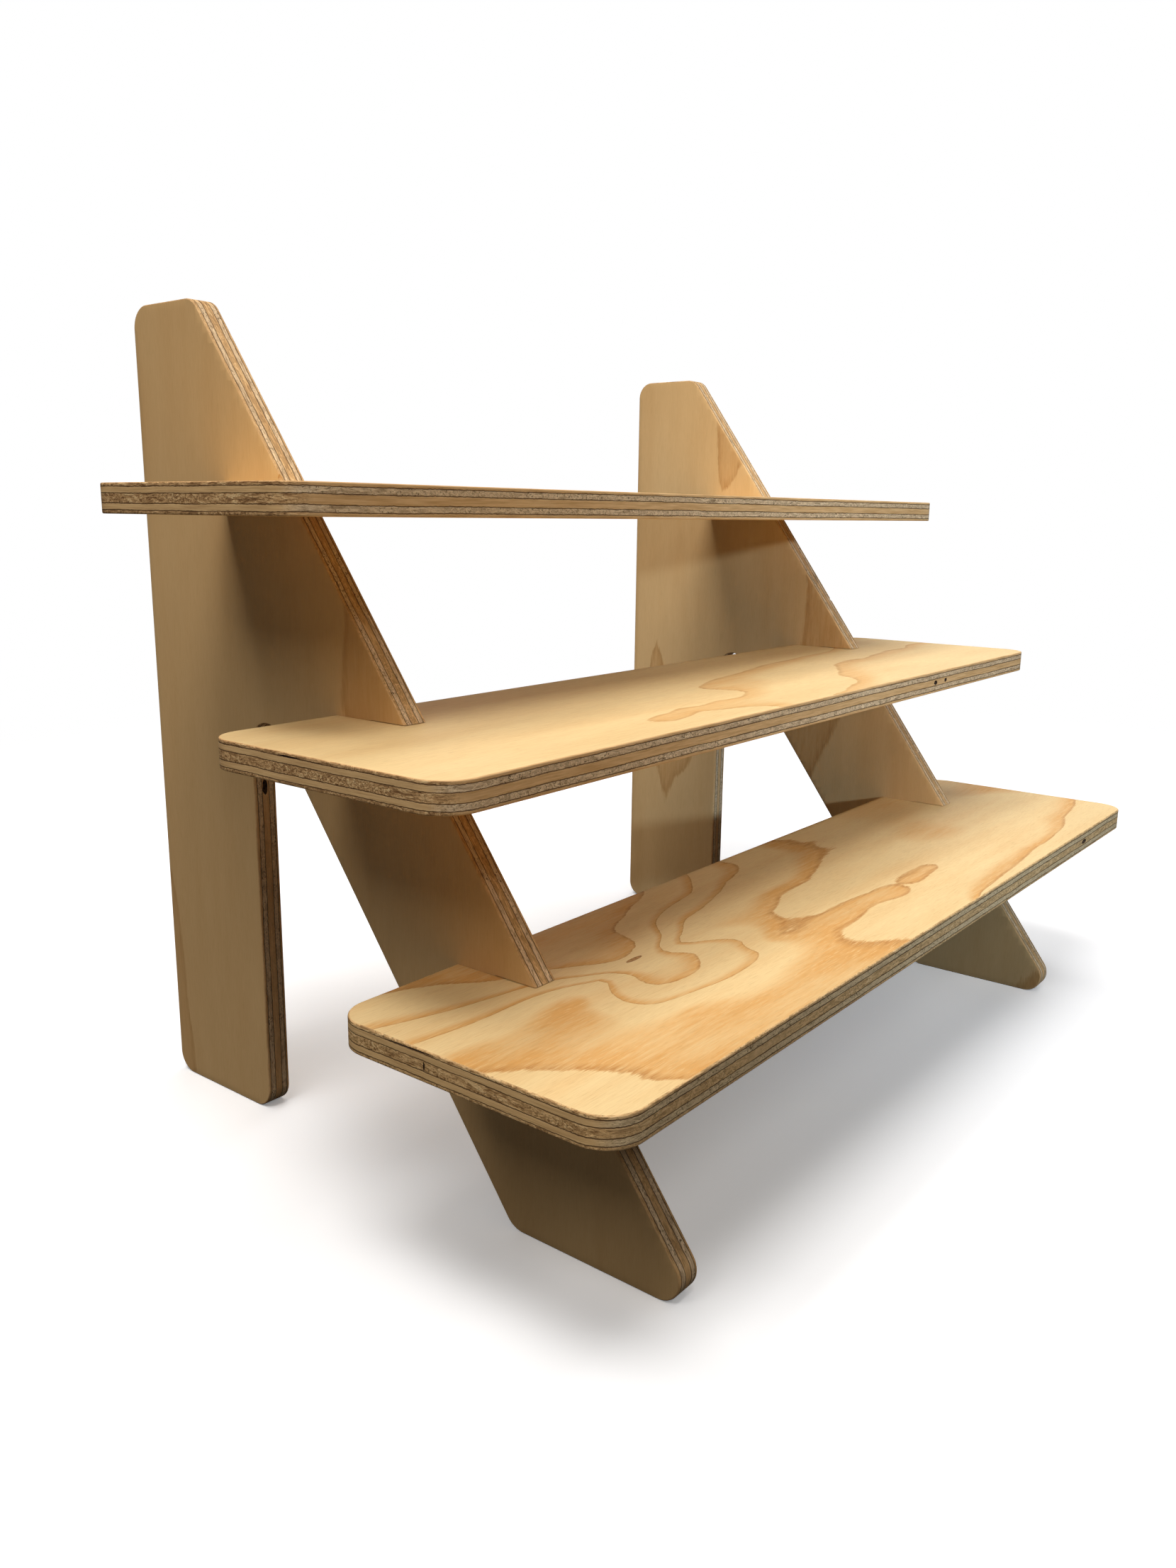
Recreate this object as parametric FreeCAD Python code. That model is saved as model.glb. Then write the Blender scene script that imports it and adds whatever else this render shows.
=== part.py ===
import FreeCAD, Part
import math
import os

# Tiered display stand: three plywood shelves step back and up along the
# sloping front edges of two plywood side frames. Every piece is cut from the
# same sheet. Frames and shelves are cross-halved: each frame has a level slot
# in from its slope, each shelf a notch in from its back edge, and the shelf
# pushes straight back until the end of its notch meets the end of the slot.
#
# +X runs along the shelves, -Y is the front, +Z is up. The origin is under
# the middle of the stand, on the floor.

# Driving dimensions, in millimetres.
SHEET = 12.0  # thickness of the plywood
ARRIS = 0.6  # rounding of the sawn edges

FRAME_HEIGHT = 377.5
FRAME_TOP_DEPTH = 46.0  # back to front, across a frame's top
FRAME_BASE_DEPTH = 325.5  # back to front on the floor, to the toe's sharp corner
LEG_DEPTH = 74.0  # back to front, across the upright back leg
ARM_DEPTH = 92.0  # back to front on the floor, across the sloping front arm
FRAME_CORNER_RADIUS = 10.0
CROTCH_RADIUS = 11.0  # where leg and arm part
FRAME_GAP = 384.0  # clear distance between the two frames

SHELF_LENGTH = 540.0
SHELF_DEPTH = 130.5
SHELF_CORNER_RADIUS = 15.0
SHELF_COUNT = 3
LOWEST_SHELF_TOP = 108.0  # height of the lowest shelf's top face
SHELF_PITCH = 94.5  # rise from one shelf to the next

SLOT_DEPTH = 21.0  # from the slope in to the slot's end, at the shelf's top face
NOTCH_DEPTH = 21.0  # from a shelf's back edge in to its notch's end
SLOT_HEADROOM = 0.3  # clearance over a shelf that rests on its slot's floor
NOTCH_SIDE_PLAY = 0.15  # clearance on each side of a frame in a shelf's notch

CUT_MARGIN = 20.0  # how far a cutting block runs past what it cuts

SHELF_NAMES = ["bottom_shelf", "middle_shelf", "top_shelf"]

# Worked out from the dimensions above. A depth is measured forward from the
# frames' back edges.
SLOPE_RUN = (FRAME_BASE_DEPTH - FRAME_TOP_DEPTH) / FRAME_HEIGHT  # run per unit of rise
TOE_ANGLE = math.atan(1.0 / SLOPE_RUN)
CROTCH_HEIGHT = (FRAME_BASE_DEPTH - ARM_DEPTH - LEG_DEPTH) / SLOPE_RUN
SHELF_TOPS = [LOWEST_SHELF_TOP + level * SHELF_PITCH for level in range(SHELF_COUNT)]


def slope_depth(height):
    """Depth of the frames' sloping front edge at a height."""
    return FRAME_BASE_DEPTH - SLOPE_RUN * height


def seat_depth(shelf_top):
    """Depth at which a slot's end and a notch's end meet."""
    return slope_depth(shelf_top) - SLOT_DEPTH


def shelf_back_depth(shelf_top):
    """Depth of a shelf's back edge."""
    return seat_depth(shelf_top) - NOTCH_DEPTH


def rounded_toe_reach():
    """Depth of the foremost point of the toe once its corner is rounded."""
    tangent_length = FRAME_CORNER_RADIUS / math.tan(TOE_ANGLE / 2.0)
    return FRAME_BASE_DEPTH - tangent_length + FRAME_CORNER_RADIUS


STAND_DEPTH = max(rounded_toe_reach(), shelf_back_depth(LOWEST_SHELF_TOP) + SHELF_DEPTH)


def y_at(depth):
    """Row Y of a depth measured forward from the frames' back edges."""
    return STAND_DEPTH / 2.0 - depth


def rounded_face(corners):
    """A flat face through (point, radius) corners, each corner an arc of its radius."""
    edges = []
    ends = []
    for index, (point, radius) in enumerate(corners):
        before = (corners[index - 1][0] - point).normalize()
        after = (corners[(index + 1) % len(corners)][0] - point).normalize()
        half_angle = before.getAngle(after) / 2.0
        reach = radius / math.tan(half_angle)
        start = point + before * reach
        finish = point + after * reach
        bisector = (before + after).normalize()
        middle = point + bisector * (radius / math.sin(half_angle) - radius)
        edges.append(Part.Arc(start, middle, finish).toShape())
        ends.append((start, finish))
    for index, (start, finish) in enumerate(ends):
        edges.append(Part.LineSegment(ends[index - 1][1], start).toShape())
    return Part.Face(Part.Wire(Part.sortEdges(edges)[0]))


def sheet_piece(face, normal):
    """A piece of the sheet: a face given its thickness, with both its outlines eased."""
    piece = face.extrude(normal * SHEET)
    outlines = []
    for edge in piece.Edges:
        offsets = [vertex.Point.dot(normal) for vertex in edge.Vertexes]
        if max(offsets) - min(offsets) < SHEET / 2.0:
            outlines.append(edge)
    return piece.makeFillet(ARRIS, outlines)


def frame_blank():
    """One side frame before its slots are cut, its outer face at X = 0."""
    heel_depth = FRAME_BASE_DEPTH - ARM_DEPTH
    outline = [
        (0.0, 0.0, FRAME_CORNER_RADIUS),
        (LEG_DEPTH, 0.0, FRAME_CORNER_RADIUS),
        (LEG_DEPTH, CROTCH_HEIGHT, CROTCH_RADIUS),
        (heel_depth, 0.0, FRAME_CORNER_RADIUS),
        (FRAME_BASE_DEPTH, 0.0, FRAME_CORNER_RADIUS),
        (FRAME_TOP_DEPTH, FRAME_HEIGHT, FRAME_CORNER_RADIUS),
        (0.0, FRAME_HEIGHT, FRAME_CORNER_RADIUS),
    ]
    corners = []
    for depth, height, radius in outline:
        corners.append((FreeCAD.Vector(0.0, y_at(depth), height), radius))
    return sheet_piece(rounded_face(corners), FreeCAD.Vector(1.0, 0.0, 0.0))


def slot_block(shelf_top):
    """What a frame's slot removes, from the slot's end out past the slope."""
    slot_height = SHEET + SLOT_HEADROOM
    slot_floor = shelf_top - SHEET
    slot_front = slope_depth(slot_floor) + CUT_MARGIN
    length = slot_front - seat_depth(shelf_top)
    corner = FreeCAD.Vector(-CUT_MARGIN, y_at(slot_front), slot_floor)
    return Part.makeBox(SHEET + 2.0 * CUT_MARGIN, length, slot_height, corner)


def side_frame(outer_x):
    """A slotted side frame whose lower X face stands at outer_x."""
    frame = frame_blank()
    for shelf_top in SHELF_TOPS:
        frame = frame.cut(slot_block(shelf_top))
    frame.translate(FreeCAD.Vector(outer_x, 0.0, 0.0))
    return frame


def notch_block(frame_x, shelf_top):
    """What a shelf's notch removes around the frame centred on frame_x."""
    width = SHEET + 2.0 * NOTCH_SIDE_PLAY
    length = NOTCH_DEPTH + CUT_MARGIN
    corner = FreeCAD.Vector(
        frame_x - width / 2.0,
        y_at(seat_depth(shelf_top)),
        shelf_top - SHEET - CUT_MARGIN,
    )
    return Part.makeBox(width, length, SHEET + 2.0 * CUT_MARGIN, corner)


def shelf(shelf_top):
    """A round-cornered shelf with a notch for each frame in its back edge."""
    back = y_at(shelf_back_depth(shelf_top))
    front = back - SHELF_DEPTH
    half_length = SHELF_LENGTH / 2.0
    plan = [(-half_length, front), (half_length, front), (half_length, back), (-half_length, back)]
    corners = []
    for x, y in plan:
        corners.append((FreeCAD.Vector(x, y, shelf_top - SHEET), SHELF_CORNER_RADIUS))
    board = sheet_piece(rounded_face(corners), FreeCAD.Vector(0.0, 0.0, 1.0))
    frame_x = (FRAME_GAP + SHEET) / 2.0
    for x in (-frame_x, frame_x):
        board = board.cut(notch_block(x, shelf_top))
    return board


pieces = {
    "left_frame": side_frame(-FRAME_GAP / 2.0 - SHEET),
    "right_frame": side_frame(FRAME_GAP / 2.0),
}
for name, shelf_top in zip(SHELF_NAMES, SHELF_TOPS):
    pieces[name] = shelf(shelf_top)

os.makedirs("parts", exist_ok=True)
for name, shape in pieces.items():
    shape.exportStep("parts/" + name + ".step")
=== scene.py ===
from collections import namedtuple
import math

import bmesh
import bpy
import numpy as np
from mathutils import Matrix, Vector, noise


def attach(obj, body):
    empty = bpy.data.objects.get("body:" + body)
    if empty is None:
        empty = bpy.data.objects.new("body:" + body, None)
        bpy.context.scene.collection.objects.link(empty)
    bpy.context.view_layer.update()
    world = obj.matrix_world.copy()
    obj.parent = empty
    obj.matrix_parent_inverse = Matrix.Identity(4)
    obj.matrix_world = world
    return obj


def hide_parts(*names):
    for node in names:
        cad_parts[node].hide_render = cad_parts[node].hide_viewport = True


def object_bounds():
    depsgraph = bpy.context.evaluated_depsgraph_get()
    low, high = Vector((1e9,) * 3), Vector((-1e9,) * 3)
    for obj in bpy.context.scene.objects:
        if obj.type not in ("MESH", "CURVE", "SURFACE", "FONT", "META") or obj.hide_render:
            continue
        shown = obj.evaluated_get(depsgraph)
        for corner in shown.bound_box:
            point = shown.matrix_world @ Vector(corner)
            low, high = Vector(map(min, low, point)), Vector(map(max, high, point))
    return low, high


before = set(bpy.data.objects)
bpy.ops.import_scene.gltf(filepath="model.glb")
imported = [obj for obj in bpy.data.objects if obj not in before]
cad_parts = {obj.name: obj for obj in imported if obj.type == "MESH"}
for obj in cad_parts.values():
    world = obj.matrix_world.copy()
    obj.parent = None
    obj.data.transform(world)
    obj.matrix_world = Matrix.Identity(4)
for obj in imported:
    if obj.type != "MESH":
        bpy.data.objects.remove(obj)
cad_low, cad_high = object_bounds()

# ---------------------------------------------------------------------------
# Driving sizes of the stand. X runs along the shelves, -Y is the front and
# Z is up. A depth is measured forward from the frames' back edges.
# ---------------------------------------------------------------------------
MM = 0.001
FACE_PLY = 1.5 * MM
CROSS_PLY = 2.6 * MM
CORE_PLY = 3.8 * MM
PLIES = (FACE_PLY, CROSS_PLY, CORE_PLY, CROSS_PLY, FACE_PLY)
SHEET = 12.0 * MM  # thickness of the plywood, all its plies together
ARRIS = 0.6 * MM  # rounding of the sawn edges

FRAME_HEIGHT = 377.5 * MM
FRAME_TOP_DEPTH = 46.0 * MM
FRAME_BASE_DEPTH = 325.5 * MM
LEG_DEPTH = 74.0 * MM
ARM_DEPTH = 92.0 * MM
FRAME_CORNER = 10.0 * MM
CROTCH_CORNER = 11.0 * MM
FRAME_GAP = 384.0 * MM

SHELF_LENGTH = 540.0 * MM
SHELF_DEPTH = 130.5 * MM
SHELF_CORNER = 15.0 * MM
SHELF_TOPS = {
    "bottom_shelf": 108.0 * MM,
    "middle_shelf": 202.5 * MM,
    "top_shelf": 297.0 * MM,
}
SLOT_DEPTH = 21.0 * MM
NOTCH_DEPTH = 21.0 * MM
SLOT_HEADROOM = 0.3 * MM
NOTCH_SIDE_PLAY = 0.15 * MM

# How the boards are made.
CORNER_STEPS = 14
ARRIS_STEPS = 3
ROUND_PROFILE = 0.5  # the bevel that follows a circle
CUT_MARGIN = 20.0 * MM  # how far a cutting block runs past what it cuts
SMOOTH_ANGLE = math.radians(30.0)
TINY = 0.01 * MM
FLAT = 0.999  # how nearly a face's normal has to point across its board
FIGURE_GRID = 4.0 * MM  # spacing of the points that carry the veneer's figure
GOUGE_BALL = 1.0 * MM  # width of a gouge's cutting ball before it is scaled
GOUGE_FINENESS = 2  # how many times that ball's faces are divided
GOUGE_ROUGHNESS = 0.16  # as a share of the gouge's smallest side

# A board's finishes, in order: its veneered faces, its sawn edges and torn
# wood, its gaps, lined with painted shade, and its knots.
FACE, SAWN, GAP, KNOT = range(4)

X_AXIS = 0
Z_AXIS = 2
ACROSS_FRAME = Vector((1.0, 0.0, 0.0))
ACROSS_SHELF = Vector((0.0, 0.0, 1.0))

SLOPE_RUN = (FRAME_BASE_DEPTH - FRAME_TOP_DEPTH) / FRAME_HEIGHT
SLOPE_TILT = math.atan(SLOPE_RUN)
CROTCH_HEIGHT = (FRAME_BASE_DEPTH - ARM_DEPTH - LEG_DEPTH) / SLOPE_RUN
FRAME_OUTER_X = {
    "left_frame": -FRAME_GAP / 2.0 - SHEET,
    "right_frame": FRAME_GAP / 2.0,
}


def y_at(depth):
    """Y of a depth measured forward from the frames' back edges."""
    return cad_high.y - depth


def slope_depth(height):
    """Depth of the frames' sloping front edge at a height."""
    return FRAME_BASE_DEPTH - SLOPE_RUN * height


def seat_depth(shelf_top):
    """Depth at which a frame's slot and a shelf's notch meet."""
    return slope_depth(shelf_top) - SLOT_DEPTH


# ---------------------------------------------------------------------------
# Joinery: each board is traced, given its plies, eased and then slotted.
# ---------------------------------------------------------------------------
def only(piece):
    """Make one piece the selected and active one."""
    if bpy.context.mode != "OBJECT":
        bpy.ops.object.mode_set(mode="OBJECT")
    bpy.ops.object.select_all(action="DESELECT")
    piece.select_set(True)
    bpy.context.view_layer.objects.active = piece


def fresh(name):
    """Name the primitive just added and move its place into its mesh."""
    piece = bpy.context.active_object
    piece.name = name
    piece.data.name = name
    only(piece)
    bpy.ops.object.transform_apply(location=True, rotation=True, scale=True)
    return piece


def block(low, high):
    """A block between two corners, for cutting with."""
    low = Vector(low)
    high = Vector(high)
    bpy.ops.mesh.primitive_cube_add(size=1.0, location=(low + high) / 2.0, scale=high - low)
    return fresh("block")


def cut_away(piece, cutter):
    """Cut one closed shape out of a piece; the cutter is used up."""
    only(piece)
    cut = piece.modifiers.new("cut", "BOOLEAN")
    cut.operation = "DIFFERENCE"
    cut.solver = "EXACT"
    cut.object = cutter
    bpy.ops.object.modifier_apply(modifier=cut.name)
    bpy.data.objects.remove(cutter)


def corner_arc(before, corner, after, radius, across):
    """Entry point, centre, signed turn and exit point of a rounded corner."""
    back = (before - corner).normalized()
    on = (after - corner).normalized()
    half_angle = back.angle(on) / 2.0
    reach = radius / math.tan(half_angle)
    centre = corner + (back + on).normalized() * (radius / math.sin(half_angle))
    turn = math.pi - 2.0 * half_angle
    if (-back).cross(on).dot(across) < 0.0:
        turn = -turn
    return corner + back * reach, centre, turn, corner + on * reach


def draw_on(step):
    """Draw an outline on by one straight step from its last point."""
    bpy.ops.mesh.extrude_vertices_move(TRANSFORM_OT_translate={"value": step})


def trace_board(name, corners, across):
    """Trace an outline of (point, radius) corners and give it the sheet's plies."""
    arcs = []
    for index, (corner, radius) in enumerate(corners):
        before = corners[index - 1][0]
        after = corners[(index + 1) % len(corners)][0]
        arcs.append(corner_arc(before, corner, after, radius, across))
    outline_start = arcs[0][0]
    bpy.ops.mesh.primitive_plane_add(size=SHEET, location=outline_start)
    board = fresh(name)
    bpy.ops.object.mode_set(mode="EDIT")
    bpy.ops.mesh.select_mode(type="VERT")
    bpy.ops.mesh.select_all(action="SELECT")
    bpy.ops.mesh.merge(type="CENTER")
    place = outline_start
    for entry, centre, turn, exit_point in arcs:
        if (entry - place).length > TINY:
            draw_on(entry - place)
        # With no window the spin turns left-handed, so its angle is negated.
        bpy.ops.mesh.spin(steps=CORNER_STEPS, angle=-turn, center=centre, axis=across)
        place = exit_point
    draw_on(outline_start - place)
    bpy.ops.mesh.select_all(action="SELECT")
    bpy.ops.mesh.remove_doubles(threshold=TINY)
    bpy.ops.mesh.edge_face_add()
    for ply in PLIES:
        bpy.ops.mesh.extrude_region_move(TRANSFORM_OT_translate={"value": across * ply})
    bpy.ops.mesh.select_all(action="SELECT")
    bpy.ops.mesh.normals_make_consistent(inside=False)
    ease_arrises(board, across)
    bpy.ops.object.mode_set(mode="OBJECT")
    return board


def ease_arrises(board, across):
    """Round the outline edges of a board's two faces."""
    bpy.ops.mesh.select_mode(type="EDGE")
    bpy.ops.mesh.select_all(action="DESELECT")
    mesh = bmesh.from_edit_mesh(board.data)
    offsets = [vertex.co.dot(across) for vertex in mesh.verts]
    faces = (min(offsets), max(offsets))
    for edge in mesh.edges:
        start, end = (vertex.co.dot(across) for vertex in edge.verts)
        edge.select = any(max(abs(start - face), abs(end - face)) < TINY for face in faces)
    bmesh.update_edit_mesh(board.data)
    bpy.ops.mesh.bevel(
        offset=ARRIS, segments=ARRIS_STEPS, profile=ROUND_PROFILE, affect="EDGES")


def frame_board(name):
    """A side frame: back leg, sloping front arm and a slot for each shelf."""
    outer_x = FRAME_OUTER_X[name]
    heel_depth = FRAME_BASE_DEPTH - ARM_DEPTH
    outline = (
        (0.0, 0.0, FRAME_CORNER),
        (LEG_DEPTH, 0.0, FRAME_CORNER),
        (LEG_DEPTH, CROTCH_HEIGHT, CROTCH_CORNER),
        (heel_depth, 0.0, FRAME_CORNER),
        (FRAME_BASE_DEPTH, 0.0, FRAME_CORNER),
        (FRAME_TOP_DEPTH, FRAME_HEIGHT, FRAME_CORNER),
        (0.0, FRAME_HEIGHT, FRAME_CORNER),
    )
    corners = []
    for depth, height, radius in outline:
        corners.append((Vector((outer_x, y_at(depth), height)), radius))
    board = trace_board(name + "_board", corners, ACROSS_FRAME)
    for shelf_top in SHELF_TOPS.values():
        slot_floor = shelf_top - SHEET
        slot_end = y_at(seat_depth(shelf_top))
        mouth = y_at(slope_depth(slot_floor) + CUT_MARGIN)
        low = (outer_x - CUT_MARGIN, mouth, slot_floor)
        high = (outer_x + SHEET + CUT_MARGIN, slot_end, shelf_top + SLOT_HEADROOM)
        cut_away(board, block(low, high))
    return board


def shelf_board(name):
    """A round-cornered shelf with a notch for each frame in its back edge."""
    shelf_top = SHELF_TOPS[name]
    underside = shelf_top - SHEET
    notch_end = y_at(seat_depth(shelf_top))
    back_depth = seat_depth(shelf_top) - NOTCH_DEPTH
    back = y_at(back_depth)
    front = y_at(back_depth + SHELF_DEPTH)
    end = SHELF_LENGTH / 2.0
    plan = ((-end, front), (end, front), (end, back), (-end, back))
    corners = [(Vector((x, y, underside)), SHELF_CORNER) for x, y in plan]
    board = trace_board(name + "_board", corners, ACROSS_SHELF)
    for outer_x in FRAME_OUTER_X.values():
        low = (outer_x - NOTCH_SIDE_PLAY, notch_end, underside - CUT_MARGIN)
        high = (outer_x + SHEET + NOTCH_SIDE_PLAY, back + CUT_MARGIN, shelf_top + CUT_MARGIN)
        cut_away(board, block(low, high))
    return board


def on_axis(axis, length):
    """A step of a length along one axis."""
    step = Vector((0.0, 0.0, 0.0))
    step[axis] = length
    return step


def select_crossed(board, across, axis, place):
    """Select what a cut at a place on an axis crosses of a board's two faces."""
    bpy.ops.mesh.select_all(action="DESELECT")
    mesh = bmesh.from_edit_mesh(board.data)
    for face in mesh.faces:
        if abs(face.normal.dot(across)) > FLAT:
            reach = [vertex.co[axis] for vertex in face.verts]
            face.select = min(reach) < place - TINY and max(reach) > place + TINY
    bmesh.update_edit_mesh(board.data)


def grid_faces(board, across):
    """Divide a board's two faces into a fine grid that carries the veneer's figure."""
    only(board)
    bpy.ops.object.mode_set(mode="EDIT")
    bpy.ops.mesh.select_mode(type="FACE")
    corners = [Vector(corner) for corner in board.bound_box]
    for axis in range(3):
        if across[axis]:
            continue
        low = min(corner[axis] for corner in corners)
        high = max(corner[axis] for corner in corners)
        count = round((high - low) / FIGURE_GRID)
        for step in range(1, count):
            cut = on_axis(axis, low + (high - low) * step / count)
            select_crossed(board, across, axis, cut[axis])
            bpy.ops.mesh.bisect(plane_co=cut, plane_no=on_axis(axis, 1.0))
    bpy.ops.object.mode_set(mode="OBJECT")


def gouge(board, place, size, seed, lining, tilt):
    """Take a small ragged bite out of a board, with a ball scaled to its size.

    Place is (X, depth, Z) and size (X, Y, Z) in mm; tilt is about X, in radians."""
    x, depth, z = place
    bpy.ops.mesh.primitive_ico_sphere_add(
        subdivisions=GOUGE_FINENESS, radius=GOUGE_BALL / 2.0,
        location=(x * MM, y_at(depth * MM), z * MM), rotation=(tilt, 0.0, 0.0), scale=size)
    cutter = fresh("gouge")
    bpy.ops.object.mode_set(mode="EDIT")
    bpy.ops.mesh.select_all(action="SELECT")
    bpy.ops.transform.vertex_random(offset=GOUGE_ROUGHNESS * min(size) * MM, seed=seed)
    bpy.ops.object.mode_set(mode="OBJECT")
    for material in board.data.materials:
        cutter.data.materials.append(material)
    for face in cutter.data.polygons:
        face.material_index = lining
    cut_away(board, cutter)


def finish_board(board, across, materials, gouges):
    """Give faces and sawn edges their materials and smooth the rounded parts."""
    only(board)
    for material in materials:
        board.data.materials.append(material)
    for face in board.data.polygons:
        face.material_index = FACE if abs(face.normal.dot(across)) > FLAT else SAWN
    for seed, (place, size, lining, tilt) in enumerate(gouges):
        gouge(board, place, size, seed, lining, tilt)
    grid_faces(board, across)
    only(board)
    bpy.ops.object.shade_smooth_by_angle(angle=SMOOTH_ANGLE)
    weighted = board.modifiers.new("flat_faces", "WEIGHTED_NORMAL")
    weighted.keep_sharp = True
    bpy.ops.object.modifier_apply(modifier=weighted.name)


# ---------------------------------------------------------------------------
# Veneer figure. Where the knife peeled through a growth ring, the veneer goes
# gradually from pale early wood to orange late wood and then changes back
# sharply. A ring height is laid over each face: every whole number is one
# sharp change. Rings are (height, points), points in mm as (X, depth) on a
# shelf and (height above the floor, depth) on a frame.
# ---------------------------------------------------------------------------
BOTTOM_SHELF_RINGS = (
    (-0.19, ((-185, 205), (-160, 215), (-110, 203), (-150, 240))),
    (0.0, ((-270, 196), (-245, 205), (-225, 215), (-204, 230), (-180, 240), (-166, 249),
           (-147, 250), (-138, 246), (-134, 238), (-131, 228), (-113, 220), (-75, 203))),
    (1.0, ((-270, 226), (-240, 235), (-193, 245), (-180, 253), (-171, 260), (-172, 272),
           (-168, 281), (-150, 283), (-136, 276), (-132, 268), (-137, 259), (-124, 249),
           (-109, 235), (-90, 228), (-62, 223), (-50, 215), (-38, 203))),
    (2.0, ((-270, 246), (-216, 250), (-194, 254), (-181, 260), (-187, 268), (-192, 280),
           (-185, 290), (-165, 294), (-130, 296), (-113, 290), (-106, 278), (-113, 267),
           (-124, 258), (-101, 245), (-60, 235), (-40, 228), (-10, 218), (-8, 203))),
    (2.35, ((-240, 256), (-80, 250), (-20, 240), (20, 215), (-130, 302))),
    (2.72, ((-205, 282), (-180, 300), (-150, 312), (-120, 308), (-100, 285), (-95, 262))),
    (2.76, ((-262, 262), (-240, 272))),
    (2.88, ((-226, 272), (-215, 269), (-204, 267))),
    (2.82, ((-228, 288), (-212, 310), (-190, 330), (-110, 330), (-85, 300),
            (-80, 270), (-40, 252), (20, 238), (35, 215))),
    (2.87, ((-52, 293), (-38, 293), (-20, 294), (-5, 295), (8, 296.5))),
    (2.94, ((22, 296.5), (35, 295), (46, 294.5), (56, 294.5))),
    (3.0, ((-285, 274), (-270, 281), (-258, 290), (-248, 303), (-244, 310), (-238, 318),
           (-240, 324), (-230, 334))),
    (3.0, ((48, 203), (57, 210), (58, 218), (66, 222), (56, 232), (62, 240), (40, 244),
           (20, 250), (3, 255), (8, 263), (-50, 265), (-62, 270), (-60, 280), (-48, 286),
           (-5, 289), (15, 293), (50, 290), (62, 295), (50, 299), (20, 297), (-20, 300),
           (-65, 306), (-71, 313), (-62, 322), (-45, 333))),
    (3.22, ((-285, 300), (-268, 320), (-250, 333), (75, 208), (85, 235), (60, 255), (30, 268),
            (-20, 276), (80, 295), (40, 310), (-20, 315), (0, 330), (150, 300), (230, 285),
            (210, 258))),
    (3.68, ((100, 255), (180, 235), (120, 212), (240, 225), (140, 282), (200, 300))),
    (3.785, ((110, 268), (135, 274), (235, 243), (265, 265))),
    (3.75, ((42, 323), (70, 320), (100, 319), (165, 318), (195, 309), (215, 304), (240, 302),
           (272, 293))),
    (4.0, ((22, 335), (45, 331), (62, 330), (130, 325), (170, 323), (215, 314), (245, 310),
           (272, 303))),
    (4.2, ((120, 334), (200, 328), (262, 318))),
)
MIDDLE_SHELF_RINGS = (
    (2.0, ((170, 170), (130, 172), (91, 175), (56, 181), (24, 187), (-1, 190), (-18, 196),
           (-30, 208), (-24, 218), (-27, 228), (-43, 233), (-60, 231), (-78, 234), (-92, 231),
           (-105, 235), (-118, 236), (-128, 244), (-118, 249), (-104, 247), (-89, 244),
           (-77, 248), (-63, 253), (-55, 264))),
    (2.12, ((-150, 232), (-100, 222), (-62, 219), (-42, 224), (-60, 200), (-200, 250),
            (-240, 230), (-120, 190), (-95, 257), (-140, 256))),
    (1.83, ((-17, 204), (12, 198), (-10, 215), (-108, 241), (-82, 239), (-62, 241))),
    (1.76, ((18, 210), (60, 190), (110, 182), (-44, 242))),
    (1.42, ((45, 205), (12, 232), (80, 196), (-20, 250), (30, 225))),
    (1.12, ((38, 242), (62, 222), (92, 200), (150, 190), (200, 186), (255, 178))),
    (1.0, ((-8, 264), (14, 260), (30, 254), (48, 250), (60, 241), (66, 231), (82, 222),
           (99, 212), (112, 204), (141, 200), (150, 204), (186, 198), (230, 196), (271, 190))),
    (0.80, ((32, 263), (62, 252), (84, 236), (112, 217), (150, 211), (200, 206), (245, 198))),
    (0.40, ((100, 250), (150, 234), (220, 222), (80, 264), (262, 212))),
    (0.30, ((160, 258), (210, 250), (260, 225))),
    (2.4, ((-260, 160), (-200, 140), (-60, 150), (60, 145), (200, 138), (-250, 255))),
)
RIGHT_FRAME_INNER_RINGS = (
    (1.0, ((360, 62), (352, 66), (338, 67), (320, 68), (308, 70), (303, 74), (309, 79),
           (318, 84), (326, 90))),
    (0.90, ((345, 72), (330, 76), (318, 76), (330, 84))),
    (1.0, ((168, 12), (180, 15), (192, 18), (200, 21), (190, 24), (175, 27), (166, 28))),
    (0.91, ((186, 20), (174, 21))),
    (1.0, ((120, 18), (112, 20), (95, 25), (80, 29), (74, 31), (84, 35), (95, 40), (108, 52),
           (118, 56))),
    (0.91, ((110, 33), (98, 32), (112, 44))),
    (1.0, ((175, 178), (152, 168.5), (138, 163), (121, 155), (104, 150))),
    (0.90, ((158, 158), (140, 151), (125, 146))),
    (1.0, ((256, 136), (240, 140), (225, 139), (206, 137))),
    (0.925, ((236, 146), (218, 148), (210, 158))),
    (1.1, ((340, 58), (312, 62), (300, 90), (180, 8), (200, 30), (130, 10), (85, 50),
           (150, 190), (115, 175), (230, 130), (250, 120), (40, 300), (20, 270))),
    (1.3, ((370, 20), (330, 30), (270, 30), (270, 100), (230, 60), (60, 20), (30, 55),
           (140, 215), (60, 270))),
)
LEFT_FRAME_OUTER_RINGS = (
    (1.0, ((-5, 13), (20, 12), (45, 8), (70, 6), (100, 3), (125, -2))),
    (0.885, ((10, 5), (50, 2), (90, -4))),
    (1.0, ((262, 136), (246, 140), (228, 138), (205, 137))),
    (0.91, ((240, 145), (222, 148), (208, 156))),
    (1.14, ((240, 131), (215, 128), (268, 124), (10, 22), (60, 18), (120, 8), (160, 5))),
    (1.3, ((370, 20), (330, 40), (280, 50), (200, 50), (120, 45), (40, 50), (150, 150),
           (130, 200), (60, 250), (20, 290), (300, 90))),
    (1.65, ((350, 12), (250, 80), (230, 100), (180, 25), (90, 60))),
)

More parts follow.
